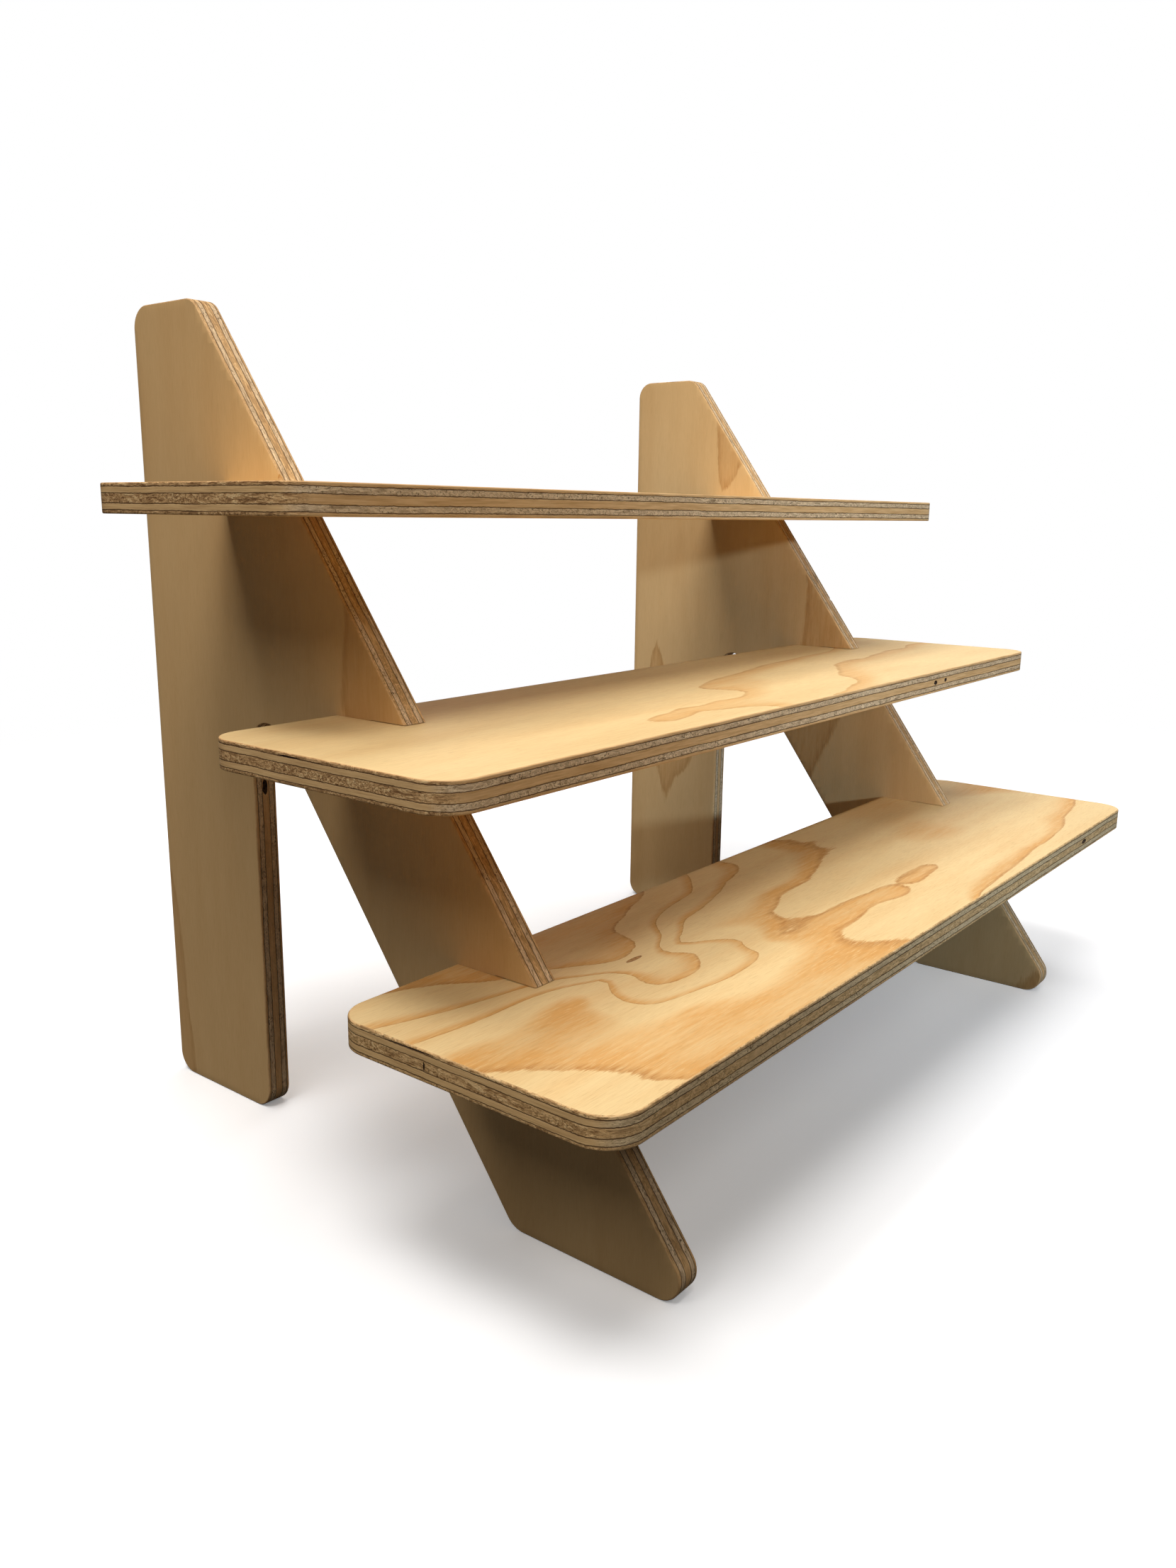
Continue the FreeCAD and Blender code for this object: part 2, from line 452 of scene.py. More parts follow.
FIGURE_SPAN = np.array((200.0, 100.0))  # mm; the figure is stretched along the grain
PLANE_TERMS = 3  # a level and two slopes
SMALLEST_SQUARE = 1e-12  # keeps a logarithm finite

# A plain sheet's rings in a metre of depth, and its waves: how many there are
# in a metre along the grain and across it, how many rings high they are, and
# what is added to the seed.
PLAIN_RINGS = 16.0
PLAIN_WAVES = (
    (3.2, 14.0, 2.6, 0.0),
    (9.0, 34.0, 0.6, 7.0),
)


def plate_bend(places, pins):
    """How far a thin plate bends at each place for each of its pins."""
    squares = ((places[:, None] - pins[None]) ** 2).sum(-1)
    return squares * np.log(np.maximum(squares, SMALLEST_SQUARE))


def ring_heights(rings, places):
    """A smooth ring height through the given ring points, as a thin plate bends."""
    pins = np.array([point for _, points in rings for point in points]) / FIGURE_SPAN
    heights = np.array([height for height, points in rings for _ in points])
    count = len(pins)
    plate = np.zeros((count + PLANE_TERMS, count + PLANE_TERMS))
    plate[:count, :count] = plate_bend(pins, pins)
    plate[:count, count] = plate[count, :count] = 1.0
    plate[:count, count + 1:] = pins
    plate[count + 1:, :count] = pins.T
    weights = np.linalg.solve(plate, np.concatenate([heights, np.zeros(PLANE_TERMS)]))
    spots = np.array(places) / MM / FIGURE_SPAN
    bends = plate_bend(spots, pins) @ weights[:count]
    return bends + weights[count] + spots @ weights[count + 1:]


def free_heights(seed, places):
    """The ring height of a plain sheet: long loops drawn out along the grain."""
    heights = []
    for along, depth in places:
        height = depth * PLAIN_RINGS
        for along_count, depth_count, rings, seed_step in PLAIN_WAVES:
            spot = Vector((along * along_count, depth * depth_count, seed + seed_step))
            height += rings * noise.noise(spot)
        heights.append(height)
    return np.array(heights)


def lay_figure(board, across, along_axis, figures):
    """Store each face's ring height, how strongly it shows, and the depth into the sheet."""
    vertices = board.data.vertices
    offsets = np.array([vertex.co.dot(across) for vertex in vertices])
    heights = np.zeros(len(vertices))
    strengths = np.zeros(len(vertices))
    for offset, (source, strength) in zip((offsets.min(), offsets.max()), figures):
        chosen = np.nonzero(np.abs(offsets - offset) < TINY)[0]
        places = []
        for index in chosen:
            place = vertices[index].co
            places.append((place[along_axis], cad_high.y - place.y))
        if isinstance(source, tuple):
            heights[chosen] = ring_heights(source, places)
        else:
            heights[chosen] = free_heights(source, places)
        strengths[chosen] = strength
    layers = {
        "ring_height": heights,
        "figure_strength": strengths,
        "sheet_depth": (offsets - offsets.min()) / SHEET,
    }
    for name, values in layers.items():
        layer = board.data.attributes.new(name, "FLOAT", "POINT")
        layer.data.foreach_set("value", values.astype(np.float32))


# ---------------------------------------------------------------------------
# Shader parts that the finishes share
# ---------------------------------------------------------------------------
def feed(tree, socket, value):
    """Feed a socket from an output, or set it to a value; a colour is (R, G, B)."""
    if isinstance(value, bpy.types.NodeSocket):
        tree.links.new(value, socket)
    elif socket.type == "RGBA":
        socket.default_value = (*value, 1.0)
    else:
        socket.default_value = value


def add(tree, kind, inputs=None, **settings):
    """Add a shader node; an input is a value or the output that feeds it."""
    made = tree.nodes.new(kind)
    for name, value in settings.items():
        setattr(made, name, value)
    for name, value in (inputs or {}).items():
        feed(tree, made.inputs[name], value)
    return made


def calc(tree, operation, *values, clamp=False):
    """One step of arithmetic."""
    inputs = dict(enumerate(values))
    return add(tree, "ShaderNodeMath", inputs, operation=operation, use_clamp=clamp).outputs[0]


def plus(tree, first, *others):
    """Values added to each other in turn."""
    for other in others:
        first = calc(tree, "ADD", first, other)
    return first


def times(tree, first, *others):
    """Values multiplied by each other in turn."""
    for other in others:
        first = calc(tree, "MULTIPLY", first, other)
    return first


def apart(tree, one, other):
    """How far two values are apart."""
    return calc(tree, "ABSOLUTE", calc(tree, "SUBTRACT", one, other))


def sway(tree, pattern, amount):
    """A noise turned into a sway to either side of nothing."""
    return times(tree, calc(tree, "SUBTRACT", pattern, 0.5), amount)


def spread(tree, value, taken, given=(0.0, 1.0), kind="LINEAR"):
    """Turn one range of values into another, clamped."""
    inputs = {"Value": value, "From Min": taken[0], "From Max": taken[1],
              "To Min": given[0], "To Max": given[1]}
    return add(tree, "ShaderNodeMapRange", inputs, interpolation_type=kind).outputs["Result"]


def live_socket(sockets, name):
    """The socket of a name that its node uses as it is set."""
    return next(socket for socket in sockets if socket.name == name and socket.enabled)


def blend(tree, factor, under, over, data_type="RGBA", blend_type="MIX"):
    """Mix two colours, or two numbers if the data type is FLOAT."""
    mixed = add(tree, "ShaderNodeMix", data_type=data_type, blend_type=blend_type)
    for name, value in (("Factor", factor), ("A", under), ("B", over)):
        feed(tree, live_socket(mixed.inputs, name), value)
    return live_socket(mixed.outputs, "Result")


def stretched_noise(tree, scale, detail, roughness, shift=0.0, curl=0.0):
    """Noise on the piece's own coordinates, scaled apart in X, Y and Z, per metre."""
    coordinates = add(tree, "ShaderNodeTexCoord").outputs["Object"]
    placed = add(tree, "ShaderNodeMapping", {"Vector": coordinates, "Scale": scale,
                                             "Location": (shift, shift, shift)})
    inputs = {"Vector": placed.outputs["Vector"], "Scale": 1.0, "Detail": detail,
              "Roughness": roughness, "Distortion": curl}
    return add(tree, "ShaderNodeTexNoise", inputs).outputs["Fac"]


def scale_on(axis, on_it, off_it):
    """A noise scale that is one number on an axis and another off it."""
    scale = [off_it, off_it, off_it]
    scale[axis] = on_it
    return tuple(scale)


def attribute(tree, name):
    """A value stored on the board's points."""
    return add(tree, "ShaderNodeAttribute", attribute_name=name).outputs["Fac"]


def bump(tree, height, strength, distance):
    """The normal of a surface with a fine relief."""
    inputs = {"Height": height, "Strength": strength, "Distance": distance}
    return add(tree, "ShaderNodeBump", inputs).outputs["Normal"]


def start_material(name):
    """A new material, its shader tree and its shader."""
    material = bpy.data.materials.new(name)
    material.use_nodes = True
    tree = material.node_tree
    return material, tree, tree.nodes["Principled BSDF"]


# ---------------------------------------------------------------------------
# Veneer. A pair of ranges says which values of a noise are taken and what
# they are turned into.
# ---------------------------------------------------------------------------
EARLY_WOOD = (0.93, 0.705, 0.36)
LATE_WOOD = (0.78, 0.42, 0.13)
RIM_WOOD = (0.47, 0.205, 0.055)
# The frames' veneer is darker and redder than the shelves' veneer: partly the frames' own tone,
# partly painted shade of the upright, less lit boards.
FRAME_EARLY_WOOD_AND_SHADE = (0.85, 0.565, 0.262)
FRAME_LATE_WOOD_AND_SHADE = (0.64, 0.33, 0.105)

# How far the rings stray, in rings, by streaks, fibres and clouds.
STREAK_FRAY = 0.04
FIBRE_FRAY = 0.045
CLOUD_WANDER = 0.12

# Parts of a ring, from 0 at one sharp change to 1 at the next.
RIPENING = (0.62, 0.95)  # early wood turns to late wood
RIM = (0.94, 0.985)  # a dark rim gathers
TURN = (0.985, 1.0)  # late wood and rim end

# What each noise adds to the late wood, and where a blush of it shows
# between the rings.
LATE_BY_STREAKS = ((0.34, 0.66), (0.42, 0.76))
LATE_BY_CLOUDS = ((0.3, 0.7), (0.0, 0.35))
LATE_BY_FIBRES = ((0.3, 0.7), (-0.20, 0.28))
BLUSH_SHOWS = ((0.42, 0.72), (0.0, 0.30))

RIM_BREAKS = ((0.35, 0.62), (0.28, 0.72))
PALE_DASHES = (0.60, 0.68)
PALE_DASH_STRENGTH = 0.5
DARK_DASHES = (0.40, 0.32)
FIBRE_TONES = (0.25, 0.75)
FIBRE_LIGHT_SHARE = 0.6  # fibres lighten the wood less than they darken it
CLOUD_TONES = ((0.3, 0.7), (-0.04, 0.04))
GREEN_DEEPENS = 1.3  # darker wood is redder: powers of the tone
BLUE_DEEPENS = 1.7

VENEER_ROUGHNESS = ((0.2, 0.8), (0.68, 0.56))
VENEER_GLOSS = 0.3
VENEER_RELIEF_STRENGTH = 0.3
VENEER_RELIEF = 0.15 * MM


def veneer(name, along_axis, early, late, fuzz):
    """Sanded pine veneer: pale early wood, orange late wood and fine fibres.

    Fuzz is how much the fibres and the dark dashes change the tone."""
    material, tree, shader = start_material(name)

    def grain(along, across, **texture):
        return stretched_noise(tree, scale_on(along_axis, along, across), **texture)

    fibres = grain(along=110.0, across=1500.0, detail=3.0, roughness=0.65)
    streaks = grain(along=42.0, across=500.0, detail=3.0, roughness=0.62, shift=3.0)
    clouds = grain(along=7.0, across=26.0, detail=3.0, roughness=0.55, shift=11.0)
    dashes = grain(along=150.0, across=2300.0, detail=1.0, roughness=0.5, shift=19.0)
    blush = grain(along=9.0, across=75.0, detail=3.0, roughness=0.6, shift=29.0)

    stray = plus(tree, sway(tree, streaks, STREAK_FRAY), sway(tree, fibres, FIBRE_FRAY),
                 sway(tree, clouds, CLOUD_WANDER))
    phase = calc(tree, "FRACT", plus(tree, attribute(tree, "ring_height"), stray))
    ripening = spread(tree, phase, RIPENING, kind="SMOOTHSTEP")
    before_turn = spread(tree, phase, TURN, (1.0, 0.0))
    patchy = plus(tree, spread(tree, streaks, *LATE_BY_STREAKS),
                  spread(tree, clouds, *LATE_BY_CLOUDS), spread(tree, fibres, *LATE_BY_FIBRES))
    strength = attribute(tree, "figure_strength")
    ripe = plus(tree, times(tree, ripening, before_turn, patchy),
                spread(tree, blush, *BLUSH_SHOWS))
    ripe = calc(tree, "MULTIPLY", ripe, strength, clamp=True)
    wood = blend(tree, ripe, early, late)

    broken = spread(tree, streaks, *RIM_BREAKS)
    rim = times(tree, spread(tree, phase, RIM), before_turn, times(tree, strength, broken))
    wood = blend(tree, rim, wood, RIM_WOOD)
    pale_dashes = times(tree, spread(tree, dashes, PALE_DASHES), ripe, PALE_DASH_STRENGTH)
    wood = blend(tree, pale_dashes, wood, early)

    lightest = 1.0 + FIBRE_LIGHT_SHARE * fuzz
    tone = plus(tree, spread(tree, fibres, FIBRE_TONES, (1.0 - fuzz, lightest)),
                spread(tree, clouds, *CLOUD_TONES))
    tone = calc(tree, "SUBTRACT", tone, spread(tree, dashes, DARK_DASHES, (0.0, fuzz)))
    shade = add(tree, "ShaderNodeCombineColor", {
        "Red": tone, "Green": calc(tree, "POWER", tone, GREEN_DEEPENS),
        "Blue": calc(tree, "POWER", tone, BLUE_DEEPENS)}).outputs[0]
    wood = blend(tree, 1.0, wood, shade, blend_type="MULTIPLY")

    relief = bump(tree, plus(tree, fibres, dashes), VENEER_RELIEF_STRENGTH, VENEER_RELIEF)
    feed(tree, shader.inputs["Base Color"], wood)
    feed(tree, shader.inputs["Roughness"], spread(tree, fibres, *VENEER_ROUGHNESS))
    feed(tree, shader.inputs["Specular IOR Level"], VENEER_GLOSS)
    feed(tree, shader.inputs["Normal"], relief)
    return material


# ---------------------------------------------------------------------------
# Sawn edges, gaps and knots
# ---------------------------------------------------------------------------
# A ply's end grain is darker where its relief sinks and gold where it rises: partly the wood's
# own tone, partly painted shade and painted highlights.
Ply = namedtuple("Ply", "side streak end end_dark end_gold")
LONG_PLY = Ply(
    side=(0.92, 0.60, 0.29), streak=(0.67, 0.39, 0.16),
    end=(0.73, 0.445, 0.20), end_dark=(0.28, 0.145, 0.055), end_gold=(1.0, 0.73, 0.38))
TURNED_PLY = Ply(
    side=(0.91, 0.615, 0.295), streak=(0.66, 0.41, 0.185),
    end=(0.88, 0.65, 0.40), end_dark=(0.48, 0.33, 0.185), end_gold=(1.0, 0.78, 0.50))
TORN_PLY = Ply(
    side=(0.90, 0.63, 0.33), streak=(0.66, 0.44, 0.21),
    end=(0.87, 0.56, 0.255), end_dark=(0.35, 0.19, 0.07), end_gold=(1.0, 0.73, 0.38))
GREY_PLY = Ply(
    side=(0.91, 0.61, 0.285), streak=(0.66, 0.415, 0.18),
    end=(0.83, 0.63, 0.37), end_dark=(0.53, 0.385, 0.21), end_gold=(0.88, 0.67, 0.38))
# Dark glue between the plies; the same colour is painted into the end grain's pits as painted
# shade.
GLUE_AND_PIT_SHADE = (0.085, 0.038, 0.012)
GAP_SHADE_TONES = ((0.035, 0.018, 0.010), (0.13, 0.065, 0.03))  # painted shade in a gap: its darkest tone and a lighter one
KNOT_WOOD = ((0.36, 0.18, 0.065), (0.60, 0.34, 0.13))

# How far the plies stray through the sheet, in mm, by waves and saw teeth.
PLY_WAVES = ((0.25, 0.75), (-0.28, 0.28))
SAW_TEETH = ((0.3, 0.7), (-0.10, 0.10))

END_FACING = (0.35, 0.8)  # how squarely a normal has to face along the grain
TEARS = (0.24, 0.40)
SLIVER_PATCHES = (0.42, 0.58)
BARE_LUMPS = ((0.38, 0.62), (0.25, 1.0))
SIDE_STREAKS = (0.35, 0.7)
LONG_PLY_GRIT = (0.38, 0.56)
TURNED_PLY_GRIT = (0.34, 0.56)
GOLD_HIGHLIGHT_GRIT = (0.52, 0.62)
PIT_SHADE_SHOWS = (0.58, 0.66)
PIT_SHADE_STRENGTH = 0.8

GLUE_WIDTH = ((0.32, 0.68), (0.17, 0.33))  # in mm to each side of the glue line
GLUE_CONTRAST = 2.6
GLUE_STRENGTH = 0.8

EDGE_ROUGHNESS = (0.62, 0.85)  # from side grain to end grain
EDGE_GLOSS = 0.25
STREAK_RELIEF = 0.3  # beside the grit's relief
EDGE_RELIEF_STRENGTH = 0.7
EDGE_RELIEF = 0.3 * MM

GAP_GRAIN = (0.4, 0.65)
GAP_ROUGHNESS = 0.7


def ply_edge(name, along_axis, across_axis, long_ply, turned_ply, torn):
    """The sawn edge: five plies, turned in turn, with dark glue lines between them.

    Torn is how rough the saw left the side of the long plies."""
    material, tree, shader = start_material(name)

    def edge_noise(run, through, **texture):
        return stretched_noise(tree, scale_on(across_axis, through, run), **texture)

    # Where between the sheet's faces, in mm, and in which kind of ply.
    waves = edge_noise(run=28.0, through=28.0, detail=3.0, roughness=0.6, shift=5.0)
    teeth = edge_noise(run=620.0, through=40.0, detail=2.0, roughness=0.6, shift=51.0)
    depth = plus(tree, times(tree, attribute(tree, "sheet_depth"), SHEET / MM),
                 spread(tree, waves, *PLY_WAVES), spread(tree, teeth, *SAW_TEETH))
    from_middle = apart(tree, depth, SHEET / MM / 2.0)
    core_end = CORE_PLY / MM / 2.0
    cross_end = core_end + CROSS_PLY / MM
    turned = times(tree, calc(tree, "GREATER_THAN", from_middle, core_end),
                   calc(tree, "LESS_THAN", from_middle, cross_end))

    # Where the saw shows a ply's end grain, and where it tore a long ply's side.
    normal = add(tree, "ShaderNodeTexCoord").outputs["Normal"]
    facing = add(tree, "ShaderNodeSeparateXYZ", {"Vector": normal}).outputs
    side_axis = next(axis for axis in range(3) if axis not in (along_axis, across_axis))
    tears = edge_noise(run=9.0, through=40.0, detail=2.0, roughness=0.5, shift=71.0)
    long_end = calc(tree, "MAXIMUM",
                    spread(tree, calc(tree, "ABSOLUTE", facing[along_axis]), END_FACING),
                    spread(tree, tears, TEARS, (0.0, torn)))
    turned_end = spread(tree, calc(tree, "ABSOLUTE", facing[side_axis]), END_FACING)
    end_grain = blend(tree, turned, long_end, turned_end, data_type="FLOAT")

    patches = edge_noise(run=30.0, through=90.0, detail=2.0, roughness=0.5, shift=61.0)
    streaks = edge_noise(run=60.0, through=1300.0, detail=3.0, roughness=0.65, shift=2.0)
    specks = edge_noise(run=480.0, through=760.0, detail=3.0, roughness=0.75, shift=13.0,
                        curl=1.2)
    slivers = edge_noise(run=180.0, through=900.0, detail=3.0, roughness=0.65, shift=27.0,
                         curl=0.8)
    grit = blend(tree, spread(tree, patches, SLIVER_PATCHES), specks, slivers,
                 data_type="FLOAT")
    pits = edge_noise(run=900.0, through=1300.0, detail=2.0, roughness=0.6, shift=21.0)
    lumps = edge_noise(run=55.0, through=160.0, detail=2.0, roughness=0.5, shift=41.0)
    bare = spread(tree, lumps, *BARE_LUMPS)

    def ply(colours, end_amount, grit_range):
        smooth = blend(tree, spread(tree, streaks, SIDE_STREAKS), colours.side, colours.streak)
        # Rough end grain: darker in the hollows of its relief and gold on its raised fibres,
        # partly the wood's own tone, partly painted shade and painted highlights.
        rough = blend(tree, spread(tree, grit, grit_range), colours.end_dark, colours.end)
        gold_and_highlight = times(tree, spread(tree, grit, GOLD_HIGHLIGHT_GRIT), bare)
        rough = blend(tree, gold_and_highlight, rough, colours.end_gold)
        # Pits in the end grain are painted near-black: painted shade in their hollows.
        pit_shade = times(tree, spread(tree, pits, PIT_SHADE_SHOWS), bare, PIT_SHADE_STRENGTH)
        rough = blend(tree, pit_shade, rough, GLUE_AND_PIT_SHADE)
        return blend(tree, end_amount, smooth, rough)

    wood = blend(tree, turned, ply(long_ply, long_end, LONG_PLY_GRIT),
                 ply(turned_ply, turned_end, TURNED_PLY_GRIT))

    glue_gap = calc(tree, "MINIMUM", apart(tree, from_middle, core_end),
                    apart(tree, from_middle, cross_end))
    breaks = edge_noise(run=80.0, through=80.0, detail=3.0, roughness=0.6, shift=31.0)
    width = spread(tree, breaks, *GLUE_WIDTH)
    glue = calc(tree, "SUBTRACT", 1.0, calc(tree, "DIVIDE", glue_gap, width), clamp=True)
    glue = calc(tree, "MULTIPLY", glue, GLUE_CONTRAST, clamp=True)
    wood = blend(tree, times(tree, glue, GLUE_STRENGTH), wood, GLUE_AND_PIT_SHADE)

    height = times(tree, calc(tree, "SUBTRACT", grit, pits), end_grain)
    height = plus(tree, height, times(tree, streaks, STREAK_RELIEF))
    height = calc(tree, "SUBTRACT", height, glue)
    relief = bump(tree, height, EDGE_RELIEF_STRENGTH, EDGE_RELIEF)
    feed(tree, shader.inputs["Base Color"], wood)
    feed(tree, shader.inputs["Roughness"], spread(tree, end_grain, (0.0, 1.0), EDGE_ROUGHNESS))
    feed(tree, shader.inputs["Specular IOR Level"], EDGE_GLOSS)
    feed(tree, shader.inputs["Normal"], relief)
    return material


def gap_shade_and_knot_wood(name, dark_tone, light_tone):
    """Two dark tones mixed by a fine grain: painted shade inside a gap in the core, and the real
    dark wood of a knot.
    """
    material, tree, shader = start_material(name)
    grain = stretched_noise(tree, scale=(900.0, 900.0, 900.0), detail=3.0, roughness=0.6)
    wood = blend(tree, spread(tree, grain, GAP_GRAIN), dark_tone, light_tone)
    feed(tree, shader.inputs["Base Color"], wood)
    feed(tree, shader.inputs["Roughness"], GAP_ROUGHNESS)
    return material


shelf_veneer = veneer("shelf_veneer", X_AXIS, EARLY_WOOD, LATE_WOOD, fuzz=0.07)
# The frame veneer's darker, redder colours are partly painted shade of the upright boards.
frame_veneer_and_shade = veneer("frame_veneer_and_shade", Z_AXIS, FRAME_EARLY_WOOD_AND_SHADE, FRAME_LATE_WOOD_AND_SHADE, fuzz=0.035)
shelf_edge = ply_edge("shelf_ply_edge", X_AXIS, Z_AXIS, LONG_PLY, TURNED_PLY, torn=0.0)
torn_edge = ply_edge("torn_ply_edge", X_AXIS, Z_AXIS, TORN_PLY, GREY_PLY, torn=0.7)
frame_edge = ply_edge("frame_ply_edge", Z_AXIS, X_AXIS, LONG_PLY, TURNED_PLY, torn=0.2)
# Painted shade: the near-black lining of the gaps and cracks in the core.
painted_gap_shade = gap_shade_and_knot_wood("painted_gap_shade", *GAP_SHADE_TONES)
knot_wood = gap_shade_and_knot_wood("knot_wood", *KNOT_WOOD)

# ---------------------------------------------------------------------------
# The boards
# ---------------------------------------------------------------------------
CRACK_TILT = -0.028

# Flaws of the sheet: place (X, depth, Z) and size in mm, which finish lines
# it, and its tilt in radians.
# A flaw lined with the gap finish is painted near-black inside: painted shade in the hole.
GOUGES = {
    "left_frame": (
        ((-198.2, 74.0, 161.5), (2.8, 5.0, 8.0), GAP, 0.0),
        ((-204.2, 102.8, 301.3), (1.8, 3.0, 6.5), SAWN, SLOPE_TILT),
        ((-191.8, 241.5, 113.0), (2.4, 2.6, 11.0), SAWN, SLOPE_TILT),
        ((-195.0, 0.0, 268.0), (1.6, 2.4, 9.0), GAP, 0.0),
    ),
    "right_frame": (
        ((199.0, 0.0, 96.0), (2.0, 3.0, 7.0), GAP, 0.0),
        ((203.6, 152.0, 232.5), (2.0, 2.4, 8.0), SAWN, SLOPE_TILT),
    ),
    "bottom_shelf": (
        ((188.0, 334.0, 101.8), (8.0, 3.0, 2.8), GAP, 0.0),
        ((-270.0, 252.0, 102.0), (3.0, 0.8, 3.6), GAP, 0.0),
        ((-270.0, 245.0, 107.0), (2.4, 27.0, 0.5), GAP, CRACK_TILT),
        ((-153.5, 255.4, 108.0), (11.0, 2.6, 0.8), KNOT, 0.0),
        ((270.0, 268.0, 101.6), (3.0, 6.0, 1.6), GAP, 0.0),
        ((62.0, 203.5, 102.4), (11.0, 2.6, 1.4), GAP, 0.0),
    ),
    "middle_shelf": (
        ((119.5, 264.0, 196.3), (4.6, 3.0, 2.6), GAP, 0.0),
        ((133.6, 264.0, 196.5), (3.2, 3.0, 2.4), GAP, 0.0),
        ((-270.0, 186.0, 201.2), (2.4, 12.0, 0.7), GAP, 0.0),
        ((-88.0, 133.6, 196.0), (7.0, 2.4, 1.6), GAP, 0.0),
    ),
    "top_shelf": (
        ((104.0, 63.7, 291.4), (9.0, 2.6, 1.5), GAP, 0.0),
        ((270.0, 118.0, 290.6), (2.6, 8.0, 1.4), GAP, 0.0),
    ),
}

SHELF_EDGES = {"bottom_shelf": torn_edge, "middle_shelf": shelf_edge, "top_shelf": shelf_edge}

# Figure of each face: its rings, or a seed, and its strength. A frame's first
# face is its left one and a shelf's first face is its underside.
FIGURES = {
    "left_frame": ((LEFT_FRAME_OUTER_RINGS, 0.45), (2.5, 0.7)),
    "right_frame": ((RIGHT_FRAME_INNER_RINGS, 0.65), (9.5, 0.7)),
    "bottom_shelf": ((21.5, 0.8), (BOTTOM_SHELF_RINGS, 0.95)),
    "middle_shelf": ((33.5, 0.8), (MIDDLE_SHELF_RINGS, 0.62)),
    "top_shelf": ((47.5, 0.8), (58.5, 0.7)),
}

for frame_name in FRAME_OUTER_X:
    board = frame_board(frame_name)
    materials = (frame_veneer_and_shade, frame_edge, painted_gap_shade, knot_wood)
    finish_board(board, ACROSS_FRAME, materials, GOUGES[frame_name])
    lay_figure(board, ACROSS_FRAME, Z_AXIS, FIGURES[frame_name])
    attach(board, frame_name)
    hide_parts(frame_name)

for shelf_name in SHELF_TOPS:
    board = shelf_board(shelf_name)
    materials = (shelf_veneer, SHELF_EDGES[shelf_name], painted_gap_shade, knot_wood)
    finish_board(board, ACROSS_SHELF, materials, GOUGES[shelf_name])
    lay_figure(board, ACROSS_SHELF, X_AXIS, FIGURES[shelf_name])
    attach(board, shelf_name)
    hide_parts(shelf_name)

# ---------------------------------------------------------------------------
# Floor and world
# ---------------------------------------------------------------------------
FLOOR_SIZE = 8.0
FLOOR_COLOUR = (1.17, 1.21, 1.26)
FLOOR_LIFT = 0.20  # brightness of the floor beside what the lamps give it
FLOOR_FADE = (0.55, 1.3)  # metres over which it turns into the backdrop
FLOOR_BOUNCE = (0.10, 0.10, 0.10)  # what the stand sees of it
SKY_LIGHT = 0.03
BACKDROP_LIGHT = 1.0
WHITE = (1.0, 1.0, 1.0)

scene = bpy.context.scene
scene.view_settings.view_transform = "Standard"


def mix_shaders(tree, factor, under, over):
    """One shader where the factor is 0 and another where it is 1."""
    return add(tree, "ShaderNodeMixShader", {0: factor, 1: under, 2: over}).outputs[0]


def pale_floor(name):
    """A white floor that keeps the stand's shadow and fades into the backdrop."""
    material = bpy.data.materials.new(name)
    material.use_nodes = True
    tree = material.node_tree
    tree.nodes.clear()
    lit = add(tree, "ShaderNodeBsdfDiffuse", {"Color": FLOOR_COLOUR}).outputs[0]
    lift = add(tree, "ShaderNodeEmission", {"Color": WHITE, "Strength": FLOOR_LIFT}).outputs[0]
    near = add(tree, "ShaderNodeAddShader", {0: lit, 1: lift}).outputs[0]
    far = add(tree, "ShaderNodeEmission", {"Color": WHITE, "Strength": BACKDROP_LIGHT}).outputs[0]
    place = add(tree, "ShaderNodeTexCoord").outputs["Object"]
    reach = add(tree, "ShaderNodeVectorMath", {0: place}, operation="LENGTH").outputs["Value"]
    seen = mix_shaders(tree, spread(tree, reach, FLOOR_FADE, kind="SMOOTHSTEP"), near, far)
    bounce = add(tree, "ShaderNodeBsdfDiffuse", {"Color": FLOOR_BOUNCE}).outputs[0]
    camera_ray = add(tree, "ShaderNodeLightPath").outputs["Is Camera Ray"]
    both = mix_shaders(tree, camera_ray, bounce, seen)
    add(tree, "ShaderNodeOutputMaterial", {"Surface": both})
    return material


bpy.ops.mesh.primitive_plane_add(size=FLOOR_SIZE, location=(0.0, 0.0, 0.0))
floor = fresh("floor")
floor.data.materials.append(pale_floor("pale_floor"))

world = bpy.data.worlds.new("studio")
scene.world = world
world.use_nodes = True
sky = world.node_tree
backdrop = sky.nodes["Background"]
camera_ray = add(sky, "ShaderNodeLightPath").outputs["Is Camera Ray"]
sky_strength = spread(sky, camera_ray, (0.0, 1.0), (SKY_LIGHT, BACKDROP_LIGHT))
feed(sky, backdrop.inputs["Strength"], sky_strength)
feed(sky, backdrop.inputs["Color"], WHITE)

# ---------------------------------------------------------------------------
# Lamps, in metres and watts
# ---------------------------------------------------------------------------
STAND_MIDDLE = (0.0, 0.0, 0.18)
WARM_WHITE = (1.0, 0.95, 0.905)
SUN_WHITE = (1.0, 0.935, 0.875)
COOL_WHITE = (0.62, 0.80, 1.0)

# Soft rectangular lamps: place, width, depth, power and colour.
SOFT_LAMPS = {
    "overhead_left": ((-0.85, -0.45, 2.2), 1.0, 0.6, 21.0, WARM_WHITE),
    "overhead_right": ((0.85, -0.45, 2.2), 1.0, 0.6, 6.5, WARM_WHITE),
    "overhead_back": ((0.0, 0.4, 2.2), 2.4, 0.6, 18.5, WARM_WHITE),
    "left": ((-1.65, 0.2, 1.7), 0.7, 0.6, 7.4, SUN_WHITE),
    "front": ((-0.4, -1.6, 1.8), 1.5, 0.6, 7.9, SUN_WHITE),
    "behind": ((1.3, 1.9, 0.9), 1.0, 0.8, 3.8, WARM_WHITE),
    "right": ((1.7, 0.3, 0.6), 0.8, 0.6, 3.0, WARM_WHITE),
}

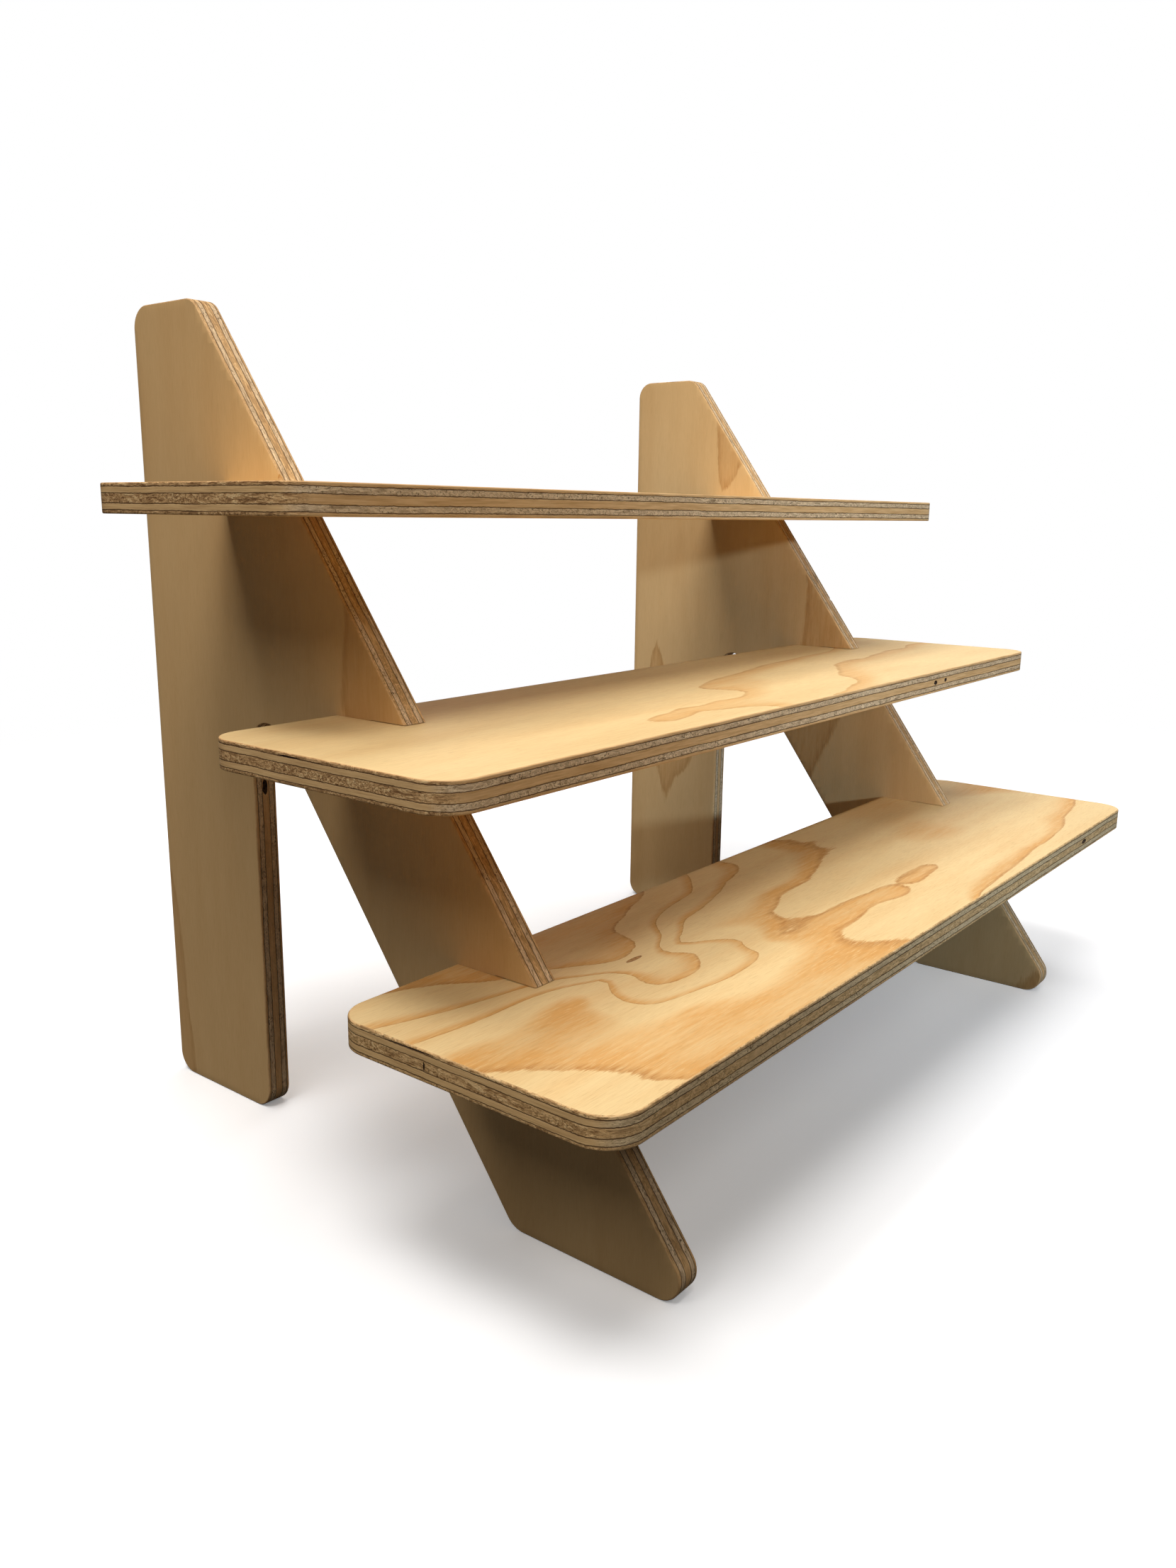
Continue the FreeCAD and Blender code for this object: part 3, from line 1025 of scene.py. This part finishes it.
# A lamp in a long tube, low and far in front: it reaches the right frame only.
TUBE_PLACE = (-1.4, -3.7, 1.08)
TUBE_AIM = (0.22, 0.0, 0.17)
TUBE_POWER = 280.0
TUBE_ANGLE = math.radians(7.8)
TUBE_SOFT_RIM = 0.35  # share of the beam over which it fades
TUBE_BULB = 0.12


def hang(light, place, aim, power, colour):
    """Hang a light at a place, facing a point."""
    light.energy = power
    light.color = colour
    lamp = bpy.data.objects.new(light.name, light)
    lamp.location = place
    lamp.rotation_euler = (Vector(aim) - Vector(place)).to_track_quat("-Z", "Y").to_euler()
    scene.collection.objects.link(lamp)


for lamp_name, (place, width, depth, power, colour) in SOFT_LAMPS.items():
    soft_light = bpy.data.lights.new(lamp_name, "AREA")
    soft_light.shape = "RECTANGLE"
    soft_light.size = width
    soft_light.size_y = depth
    hang(soft_light, place, STAND_MIDDLE, power, colour)

tube_light = bpy.data.lights.new("tube_lamp", "SPOT")
tube_light.spot_size = TUBE_ANGLE
tube_light.spot_blend = TUBE_SOFT_RIM
tube_light.shadow_soft_size = TUBE_BULB
hang(tube_light, TUBE_PLACE, TUBE_AIM, TUBE_POWER, COOL_WHITE)

# ---------------------------------------------------------------------------
# Camera, its angles in radians
# ---------------------------------------------------------------------------
CAMERA_AZIMUTH = 0.9029  # viewing direction, from +Y towards +X
CAMERA_ELEVATION = -0.2192
CAMERA_ROLL = -0.0118
CAMERA_PLACE = (-537.12 * MM, y_at(532.73 * MM), 287.155 * MM)
IMAGE_HEIGHT = 2212.0
FOCAL_PIXELS = 1711.5

camera_data = bpy.data.cameras.new("camera")
camera_data.lens = camera_data.sensor_width * FOCAL_PIXELS / IMAGE_HEIGHT
camera = bpy.data.objects.new("camera", camera_data)
turn = Matrix.Rotation(-CAMERA_AZIMUTH, 4, "Z")
tilt = Matrix.Rotation(math.pi / 2.0 + CAMERA_ELEVATION, 4, "X")
roll = Matrix.Rotation(-CAMERA_ROLL, 4, "Z")
camera.matrix_world = Matrix.Translation(CAMERA_PLACE) @ turn @ tilt @ roll
scene.collection.objects.link(camera)
scene.camera = camera
